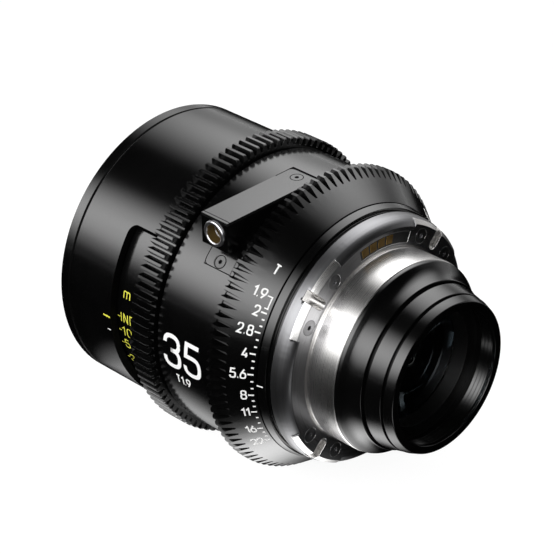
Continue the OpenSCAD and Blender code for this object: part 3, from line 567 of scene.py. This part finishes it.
class Skin:
    """A turned surface that carries marks: a cylinder, or a cone that opens to the front."""

    def __init__(self, radius, slope=0.0, start=0.0):
        self.radius = radius
        self.slope = slope
        self.start = start

    def place(self, angle, ahead, reading=1):
        """Lays flat sizes on the surface from one place: x along the words and y up them."""
        def laid(x, y, height):
            z = ahead - reading * x / math.hypot(1, self.slope)
            radius = self.radius + self.slope * (z - self.start)
            return at(radius + height, angle + math.degrees(reading * y / radius), z)
        return laid


def rounded_corners(corners):
    """The points of a line of x, y and corner cut, with its corners rounded."""
    points = []
    for i, (x, y, cut) in enumerate(corners):
        here = Vector((x, y))
        if cut == 0:
            points.append(here)
            continue
        start = here + (Vector(corners[i - 1][:2]) - here).normalized() * cut
        end = here + (Vector(corners[i + 1][:2]) - here).normalized() * cut
        for step in range(CORNER_STEPS + 1):
            k = step / CORNER_STEPS
            points.append(start * (1 - k) ** 2 + here * 2 * k * (1 - k) + end * k ** 2)
    return points


def pen_path(stroke, scale=1.0):
    """The points of a stroke in mm, with its corners rounded and its long runs divided."""
    corners = rounded_corners(stroke)
    path = [corners[0] * scale]
    for corner in corners[1:]:
        start = path[-1]
        run = corner * scale - start
        parts = math.ceil(run.length / STROKE_STEP)
        path.extend(start + run * (part + 1) / parts for part in range(parts))
    return path


def paint_line(work, path, pen, laid):
    """Adds a raised line of one pen width along a path."""
    rings = []
    for i, here in enumerate(path):
        arriving = (here - path[i - 1]).normalized() if i else (path[1] - here).normalized()
        leaving = (path[i + 1] - here).normalized() if i + 1 < len(path) else arriving
        along = (arriving + leaving).normalized()
        side = Vector((-along.y, along.x)) * pen / 2 / max(MITRE_LIMIT, along.dot(arriving))
        left, right = here + side, here - side
        rings.append([work.verts.new(laid(*left, PAINT_HEIGHT)), work.verts.new(laid(*right, PAINT_HEIGHT)),
                      work.verts.new(laid(*right, PAINT_ROOT)), work.verts.new(laid(*left, PAINT_ROOT))])
    closed_bar(work, rings)


class Lettering:
    """One size of the alphabet: height and pen in mm, narrowing and gap as shares of the height."""

    def __init__(self, height, pen, narrowing, gap):
        self.height = height
        self.pen = pen
        self.narrowing = narrowing
        self.gap = gap

    def width(self, words):
        """Length of a line of words in mm."""
        letters = self.narrowing * sum(ALPHABET[letter][0] for letter in words)
        return self.height * (letters + self.gap * (len(words) - 1))

    def write(self, work, words, laid, start):
        """Writes words from a start x, centred on y."""
        x = start / self.height
        for letter in words:
            width, strokes = ALPHABET[letter]
            for stroke in strokes:
                placed = [(x + across * self.narrowing, up - 0.5, cut * self.narrowing)
                          for across, up, cut in stroke]
                paint_line(work, pen_path(placed, self.height), self.pen, laid)
            x += width * self.narrowing + self.gap


def paint_tick(work, skin, angle, front, rear, pen):
    """A straight tick along the axis between two distances ahead of the seat."""
    reach = (front - rear) * math.hypot(1, skin.slope)
    paint_line(work, pen_path([(0, 0, 0), (reach, 0, 0)]), pen, skin.place(angle, front))


BARREL_SKIN = Skin(BARREL_R)
SCALE_SKIN = Skin(SCALE_RING_R)
CONE_SKIN = Skin(CONE_REAR_R, CONE_SLOPE, CONE_REAR)
INDEX_SKIN = Skin(INDEX_RING_R, INDEX_RING_SLOPE, INDEX_RING_START)

# Aperture scale: stop and angle in degrees round the lens
STOPS = [("2", 31.3), ("2.8", 23.1), ("4", 13.9), ("5.6", 4.8),
         ("8", -4.9), ("11", -13.7), ("16", -23.7), ("22", -32.2)]
WIDEST_STOP = "1.9"
WIDEST_LABEL_ANGLE = 38.1
WIDEST_TICK_ANGLE = 33.1
STOP_LETTER_ANGLE = 48.5
STOP_LETTERS = Lettering(2.55, 0.42, 0.86, 0.22)
STOP_TEXT_REAR = 11.15
STOP_TICK = (10.75, 9.5)
STOP_SHORT_TICK = (10.1, 9.5)
LEADER = (10.75, 9.7)
LEADER_PEN = 0.34
LEADER_HOOK = 0.3
STOP_PARTS = 3


def aperture_scale(name, side):
    """Stops, their ticks and third-stop ticks on the iris ring's cone."""
    around, reading = side
    work = bmesh.new()
    for words, angle in STOPS + [(WIDEST_STOP, WIDEST_LABEL_ANGLE), ("T", STOP_LETTER_ANGLE)]:
        start = -STOP_LETTERS.width(words) if reading == 1 else 0
        STOP_LETTERS.write(work, words, CONE_SKIN.place(around + angle, STOP_TEXT_REAR, reading), start)
    for (_, angle), (_, following) in zip(STOPS, STOPS[1:]):
        for part in range(1, STOP_PARTS):
            between = angle + (following - angle) * part / STOP_PARTS
            paint_tick(work, CONE_SKIN, around + between, *STOP_SHORT_TICK, STOP_LETTERS.pen)
    for _, angle in STOPS:
        paint_tick(work, CONE_SKIN, around + angle, *STOP_TICK, STOP_LETTERS.pen)
    reach = (LEADER[0] - LEADER[1]) * math.hypot(1, CONE_SLOPE)
    drop = -math.radians(WIDEST_LABEL_ANGLE - WIDEST_TICK_ANGLE) * CONE_REAR_R
    leader = pen_path([(0, 0, 0), (reach, 0, 0), (reach, drop, 0), (LEADER_HOOK * reach, drop, 0)])
    paint_line(work, leader, LEADER_PEN, CONE_SKIN.place(around + WIDEST_LABEL_ANGLE, LEADER[0]))
    new_piece(name, work, "iris_drive", WHITE_PAINT)


# Distance scale: metres on the near side and feet on the far side
METRES = ["10", "5", "3", "2", "1.5", "1.2", "1", "0.8", "0.7", "0.6", "0.5", "0.4", "0.35"]
FEET = ["30", "15", "10", "7", "5", "4", "3.5", "3", "2.5", "2", "1.6"]
METRE = 1.0
FOOT = 0.3048 * METRE
INFINITY_ANGLE = 0.3

# Turn of the scale in degrees, at the nearest distance in metres and for a dioptre beside infinity
NEAREST = 0.35
NEAREST_TURN = 149.5
FAR_TURN_PER_DIOPTRE = 68.0

DISTANCE_LETTERS = Lettering(2.75, 0.3, 1.0, 0.36)
DISTANCE_TICK = (59.9, 59.0)
DISTANCE_TEXT_FRONT = 58.6
UNIT_ANGLE = 11.7
UNIT_FRONT = 57.8


def scale_turn(dioptres):
    """Turn of the focus ring from infinity, wider apart at the far end of the scale."""
    nearest = 1 / NEAREST
    closing = (FAR_TURN_PER_DIOPTRE * nearest - NEAREST_TURN) / nearest ** 2
    return FAR_TURN_PER_DIOPTRE * dioptres - closing * dioptres ** 2


def distance_scale(name, side, unit, unit_length, distances, paint):
    """Distances round the focus scale ring, counted from the infinity mark."""
    around, reading = side
    work = bmesh.new()
    marks = [("INF", INFINITY_ANGLE)]
    for words in distances:
        marks.append((words, INFINITY_ANGLE - scale_turn(1 / (float(words) * unit_length))))
    for _, angle in marks:
        paint_tick(work, SCALE_SKIN, around + angle, *DISTANCE_TICK, DISTANCE_LETTERS.pen)
    labels = [(words, angle, DISTANCE_TEXT_FRONT) for words, angle in marks]
    labels.append((unit, UNIT_ANGLE, UNIT_FRONT))
    for words, angle, front in labels:
        start = 0 if reading == 1 else -DISTANCE_LETTERS.width(words)
        DISTANCE_LETTERS.write(work, words, SCALE_SKIN.place(around + angle, front, reading), start)
    new_piece(name, work, "focus_drive", paint)


FOCAL_LENGTH = "35"
FOCAL_LETTERS = Lettering(9.0, 1.22, 1.0, 0.23)
FOCAL_FRONT = 38.6
FOCAL_DROP = -0.45
SPEED_LETTERS = Lettering(2.45, 0.4, 0.9, 0.22)
SPEED_FRONT = 35.3
SPEED_DROP = 11.3


def focal_figures(name, side):
    """The focal length and the widest stop on the middle barrel."""
    around, reading = side
    work = bmesh.new()
    for words, letters, front, drop in ((FOCAL_LENGTH, FOCAL_LETTERS, FOCAL_FRONT, FOCAL_DROP),
                                        ("T" + WIDEST_STOP, SPEED_LETTERS, SPEED_FRONT, SPEED_DROP)):
        start = 0 if reading == 1 else -letters.width(words)
        letters.write(work, words, BARREL_SKIN.place(around - reading * drop, front, reading), start)
    new_piece(name, work, "barrel", WHITE_PAINT)


# Index lines: front and rear ends, pen, and how far round from the side's middle
APERTURE_INDEX = (8.75, 7.05, 0.36)
FOCUS_INDEX = (62.9, 60.2, 0.42)
FOCUS_INDEX_ANGLE = 0.6
DEPTH_INDEX = (61.6, 60.3, 0.3)
DEPTH_INDEX_ANGLE = -5.2


def index_line(name, skin, angle, front, rear, pen, paint):
    """A line on a fixed ring that a scale is read against."""
    work = bmesh.new()
    paint_tick(work, skin, angle, front, rear, pen)
    new_piece(name, work, "barrel", paint)


# Painted shade: fine dark lines that stand for the shade in the gaps round the connector's cover, its foot
# and their two screws

GAP_PEN = 0.24
SCREW_EDGE_R = 1.75
FOOT_R = 40.05
FOOT_SKIN = Skin(FOOT_R)
FOOT_SCREW_ANGLE = 41.5
FOOT_EDGE_ANGLE = 38.6
FOOT_FRONT = 31.95
FOOT_LENGTH = 10.3
FOOT_HEIGHT = 6.5
FOOT_CORNER = 1.6
COVER_FAR_X = -0.9
COVER_SIDE_X = 5.0
COVER_CORNER = 1.5
COVER_SCREW_X = 1.9
COVER_GAP_X = 30.7
COVER_HALF = 4.6
CIRCLE_STEPS = 48


def on_cover(x, y, height):
    """Lays flat sizes on the cover's level top: x across the lens, and y to the rear of the connector."""
    return Vector((x, y - CONNECTOR_AHEAD, COVER_TOP + height)) * MM


def circle_path(radius, x=0.0):
    """A full circle about a place on the x axis."""
    turns = [2 * math.pi * step / CIRCLE_STEPS for step in range(CIRCLE_STEPS + 1)]
    return [Vector((x + radius * math.cos(turn), radius * math.sin(turn))) for turn in turns]


def connector_gap_shade():
    """The shade in the gaps as lines of dark paint: painted shade."""
    work = bmesh.new()
    foot_edge = pen_path([(0, FOOT_HEIGHT, 0), (0, 0, FOOT_CORNER), (FOOT_LENGTH, 0, 0)])
    paint_line(work, foot_edge, GAP_PEN, FOOT_SKIN.place(FOOT_EDGE_ANGLE, FOOT_FRONT))
    paint_line(work, circle_path(SCREW_EDGE_R), GAP_PEN, FOOT_SKIN.place(FOOT_SCREW_ANGLE, CONNECTOR_AHEAD))
    paint_line(work, circle_path(SCREW_EDGE_R, COVER_SCREW_X), GAP_PEN, on_cover)
    far_end = [(COVER_SIDE_X, -COVER_HALF, 0), (COVER_FAR_X, -COVER_HALF, COVER_CORNER),
               (COVER_FAR_X, COVER_HALF, COVER_CORNER), (COVER_SIDE_X, COVER_HALF, 0)]
    paint_line(work, pen_path(far_end), GAP_PEN, on_cover)
    near_end = [(COVER_GAP_X, -COVER_HALF, 0), (COVER_GAP_X, COVER_HALF, 0)]
    paint_line(work, pen_path(near_end), GAP_PEN, on_cover)
    new_piece("connector_gap_shade", work, "barrel", GAP_SHADE_PAINT)


# Stage: floor, black card, soft lights and camera, in metres

FLOOR_HEIGHT = -43.0 * MM
FLOOR_HALF = 3.0
FLOOR_SHOWN = 0.92
FLOOR_GREY = 0.15
CARD_HEIGHT = FLOOR_HEIGHT + 0.1 * MM
CARD_HALF = 2.0
CARD_GREY = 0.001
CARD_WINDOW_LOW = (0.0115, -0.086)
CARD_WINDOW_HIGH = (0.030, 0.012)
CARD_WINDOW_SLANT = 0.2
CARD_SOFT_EDGE = 0.010

# An area lamp spreads its watts over four times its area
WATTS_PER_RADIANCE = 4.0

# Shares of a strip's length: where it is dark, where it is full from, and where it is full to
EVEN_STRIP = (-0.1, 0.0, 0.999)
LEFT_STRIP = (0.273, 0.665, 0.86)

# Two panels lie just above the card, under the near side
LOW_PANEL = {"angle": -90.0, "reach": -FLOOR_HEIGHT - 0.2 * MM, "aside": 0.032}

FRONT_PANEL_SIZE = 0.5
FRONT_PANEL_RADIANCE = 1.2
FRONT_PANEL_PLACE = Vector((-0.1, -0.9, 0.22))
WORLD_STRENGTH = 0.002


def flat_sheet(name, half_size, height):
    """A level square about the origin, in metres."""
    sides = [(-1, -1), (1, -1), (1, 1), (-1, 1)]
    corners = [(x * half_size, y * half_size, height) for x, y in sides]
    mesh = bpy.data.meshes.new(name)
    mesh.from_pydata(corners, [], [(0, 1, 2, 3)])
    sheet = bpy.data.objects.new(name, mesh)
    bpy.context.scene.collection.objects.link(sheet)
    return sheet


def empty_material(name):
    """A material with an output node only."""
    material = bpy.data.materials.new(name)
    material.use_nodes = True
    tree = material.node_tree
    tree.nodes.clear()
    return material, tree, tree.nodes.new("ShaderNodeOutputMaterial")


def floor_finish():
    """White to the eye and in reflections, and it keeps a soft shadow."""
    material, tree, output = empty_material("white_floor")
    path = tree.nodes.new("ShaderNodeLightPath")
    seen = math_node(tree, "MAXIMUM", path.outputs["Is Camera Ray"], path.outputs["Is Glossy Ray"])
    shown = math_node(tree, "MAXIMUM", seen, path.outputs["Is Transmission Ray"])
    glow = tree.nodes.new("ShaderNodeEmission")
    tree.links.new(math_node(tree, "MULTIPLY", shown, FLOOR_SHOWN), glow.inputs["Strength"])
    paper = tree.nodes.new("ShaderNodeBsdfDiffuse")
    paper.inputs["Color"].default_value = (FLOOR_GREY, FLOOR_GREY, FLOOR_GREY, 1)
    both = tree.nodes.new("ShaderNodeAddShader")
    tree.links.new(glow.outputs[0], both.inputs[0])
    tree.links.new(paper.outputs[0], both.inputs[1])
    tree.links.new(both.outputs[0], output.inputs["Surface"])
    return material


def card_finish():
    """Black card with a soft-edged window under the lens."""
    material, tree, output = empty_material("black_card")
    place = tree.nodes.new("ShaderNodeTexCoord")
    split = tree.nodes.new("ShaderNodeSeparateXYZ")
    tree.links.new(place.outputs["Object"], split.inputs[0])
    slant = math_node(tree, "MULTIPLY", split.outputs["Y"], CARD_WINDOW_SLANT)
    across = math_node(tree, "ADD", split.outputs["X"], slant)
    outside = []
    for place, low, high in zip((across, split.outputs["Y"]), CARD_WINDOW_LOW, CARD_WINDOW_HIGH):
        offset = math_node(tree, "SUBTRACT", place, (low + high) / 2)
        edge = math_node(tree, "SUBTRACT", math_node(tree, "ABSOLUTE", offset), (high - low) / 2)
        soft = tree.nodes.new("ShaderNodeMapRange")
        soft.interpolation_type = "SMOOTHSTEP"
        soft.inputs["From Min"].default_value = -CARD_SOFT_EDGE
        soft.inputs["From Max"].default_value = CARD_SOFT_EDGE
        tree.links.new(edge, soft.inputs["Value"])
        outside.append(soft.outputs["Result"])
    black = tree.nodes.new("ShaderNodeBsdfDiffuse")
    black.inputs["Color"].default_value = (CARD_GREY, CARD_GREY, CARD_GREY, 1)
    clear = tree.nodes.new("ShaderNodeBsdfTransparent")
    mixed = tree.nodes.new("ShaderNodeMixShader")
    tree.links.new(math_node(tree, "MAXIMUM", *outside), mixed.inputs["Fac"])
    tree.links.new(clear.outputs[0], mixed.inputs[1])
    tree.links.new(black.outputs[0], mixed.inputs[2])
    tree.links.new(mixed.outputs[0], output.inputs["Surface"])
    return material


def fade_lamp(lamp, dark_end, full_from, full_to):
    """Dims a strip to its long edges, and to its ends from the part of its length that is full."""
    lamp.use_nodes = True
    tree = lamp.node_tree
    shape = tree.nodes.new("ShaderNodeNewGeometry")
    split = tree.nodes.new("ShaderNodeSeparateXYZ")
    tree.links.new(shape.outputs["Parametric"], split.inputs[0])
    wave = math_node(tree, "SINE", math_node(tree, "MULTIPLY", split.outputs["Y"], math.pi))
    strength = math_node(tree, "MULTIPLY", wave, wave)
    for dark, full in ((dark_end, full_from), (1.0, full_to)):
        end = tree.nodes.new("ShaderNodeMapRange")
        end.inputs["From Min"].default_value = dark
        end.inputs["From Max"].default_value = full
        tree.links.new(split.outputs["X"], end.inputs["Value"])
        strength = math_node(tree, "MULTIPLY", strength, end.outputs["Result"])
    tree.links.new(strength, tree.nodes["Emission"].inputs["Strength"])


def area_lamp(name, width, length, radiance):
    """A soft light that the camera doesn't see, with its size in metres."""
    lamp = bpy.data.lights.new(name, "AREA")
    lamp.shape = "RECTANGLE"
    lamp.size = length
    lamp.size_y = width
    lamp.energy = WATTS_PER_RADIANCE * radiance * width * length
    light = bpy.data.objects.new(name, lamp)
    bpy.context.scene.collection.objects.link(light)
    light.visible_camera = False
    return light


def soft_strip(name, angle, reach, width, length, middle, radiance,
               aside=0.0, spread=180, slant=0, fade=EVEN_STRIP):
    """A strip that faces the optical axis, at an angle round it and a distance from it."""
    strip = area_lamp(name, width, length, radiance)
    strip.data.spread = math.radians(spread)
    fade_lamp(strip.data, *fade)
    turn = math.radians(angle)
    outward = Vector((math.cos(turn), 0, math.sin(turn)))
    along = Quaternion(outward, math.radians(slant)) @ Vector((0, 1, 0))
    strip.location = outward * reach + Vector((aside, middle, 0))
    strip.rotation_euler = Matrix((along, outward.cross(along), outward)).transposed().to_euler()


def front_panel():
    """A square light ahead of the lens, so that its front shows in the views from there."""
    panel = area_lamp("panel_front", FRONT_PANEL_SIZE, FRONT_PANEL_SIZE, FRONT_PANEL_RADIANCE)
    panel.location = FRONT_PANEL_PLACE
    panel.rotation_euler = FRONT_PANEL_PLACE.to_track_quat("Z", "Y").to_euler()


def make_stage():
    """Floor, card, lights and a dim world."""
    floor = flat_sheet("floor", FLOOR_HALF, FLOOR_HEIGHT)
    floor.data.materials.append(floor_finish())
    card = flat_sheet("card", CARD_HALF, CARD_HEIGHT)
    card.data.materials.append(card_finish())
    card.visible_camera = False
    card.visible_diffuse = False
    card.visible_shadow = False
    soft_strip("strip_right", angle=33.0, reach=0.9, width=1.18, length=2.25, middle=0.125, radiance=3.7)
    soft_strip("strip_left", angle=128.3, reach=0.14, width=0.225, length=0.44, middle=-0.15, radiance=2.75,
               slant=-8, fade=LEFT_STRIP)
    soft_strip("strip_far", angle=173.0, reach=0.35, width=0.24, length=0.9, middle=-0.15, radiance=0.5)
    front_panel()
    soft_strip("panel_below", width=0.055, length=0.15, middle=-0.02, radiance=0.55, spread=72, **LOW_PANEL)
    soft_strip("panel_behind", width=0.06, length=0.05, middle=0.085, radiance=1.2, spread=150, **LOW_PANEL)
    world = bpy.data.worlds.new("dim_studio")
    bpy.context.scene.world = world
    world.use_nodes = True
    background = world.node_tree.nodes["Background"]
    background.inputs["Color"].default_value = (1, 1, 1, 1)
    background.inputs["Strength"].default_value = WORLD_STRENGTH


def make_camera():
    """The camera of the photograph."""
    data = bpy.data.cameras.new("photo_camera")
    data.sensor_width = SENSOR_WIDTH
    data.lens = CAMERA_LENS
    data.clip_start = CAMERA_CLIP
    camera = bpy.data.objects.new("photo_camera", data)
    bpy.context.scene.collection.objects.link(camera)
    camera.location = CAMERA_PLACE
    camera.rotation_mode = "QUATERNION"
    facing = (CAMERA_PLACE - CAMERA_AIM).to_track_quat("Z", "Y")
    camera.rotation_quaternion = facing @ Quaternion((0, 0, 1), CAMERA_ROLL)
    bpy.context.scene.camera = camera


paint_cad_nodes()
eased_pieces = {}
for body, nodes in EASED_EDGES.items():
    for node_name, width in nodes.items():
        eased_pieces[node_name] = eased(node_name, body, width)
# The flange and the mount's rear plane get the darker satin steel, partly satin and partly painted shade
second_finish_or_shade(eased_pieces["lens_mount"], FLANGE_SATIN_AND_SHADE, on_flange)
second_finish_or_shade(eased_pieces["lens_mount"], SEAT_SATIN_AND_SHADE, on_seat)
second_finish_or_shade(eased_pieces["connector_socket"], FINISHES["insert_brown"], in_socket_bore)
# Painted shade on the walls of the two windows and on the two slopes of the front seam
second_finish_or_shade(eased_pieces["front_barrel"], GAP_SHADE_PAINT, in_window_wall, in_front_seam)
second_finish_or_shade(eased_pieces["front_rim"], GAP_SHADE_PAINT, in_front_seam)
eased_pieces["focus_scale_ring"].data.materials[0] = FINISHES["black_satin"]
filter_thread()
aperture_scale("aperture_scale_near", NEAR_SIDE)
aperture_scale("aperture_scale_far", FAR_SIDE)
distance_scale("distance_scale_metres", NEAR_SIDE, "m", METRE, METRES, YELLOW_PAINT)
distance_scale("distance_scale_feet", FAR_SIDE, "ft", FOOT, FEET, WHITE_PAINT)
focal_figures("focal_figures_near", NEAR_SIDE)
focal_figures("focal_figures_far", FAR_SIDE)
for label, (around, _), paint in (("near", NEAR_SIDE, YELLOW_PAINT), ("far", FAR_SIDE, WHITE_PAINT)):
    index_line("aperture_index_" + label, INDEX_SKIN, around, *APERTURE_INDEX, WHITE_PAINT)
    index_line("focus_index_" + label, BARREL_SKIN, around + FOCUS_INDEX_ANGLE, *FOCUS_INDEX, paint)
    index_line("depth_index_" + label, BARREL_SKIN, around + DEPTH_INDEX_ANGLE, *DEPTH_INDEX, WHITE_PAINT)
connector_gap_shade()
turned_rear_barrel()
make_stage()
make_camera()
bpy.context.scene.view_settings.view_transform = "Standard"
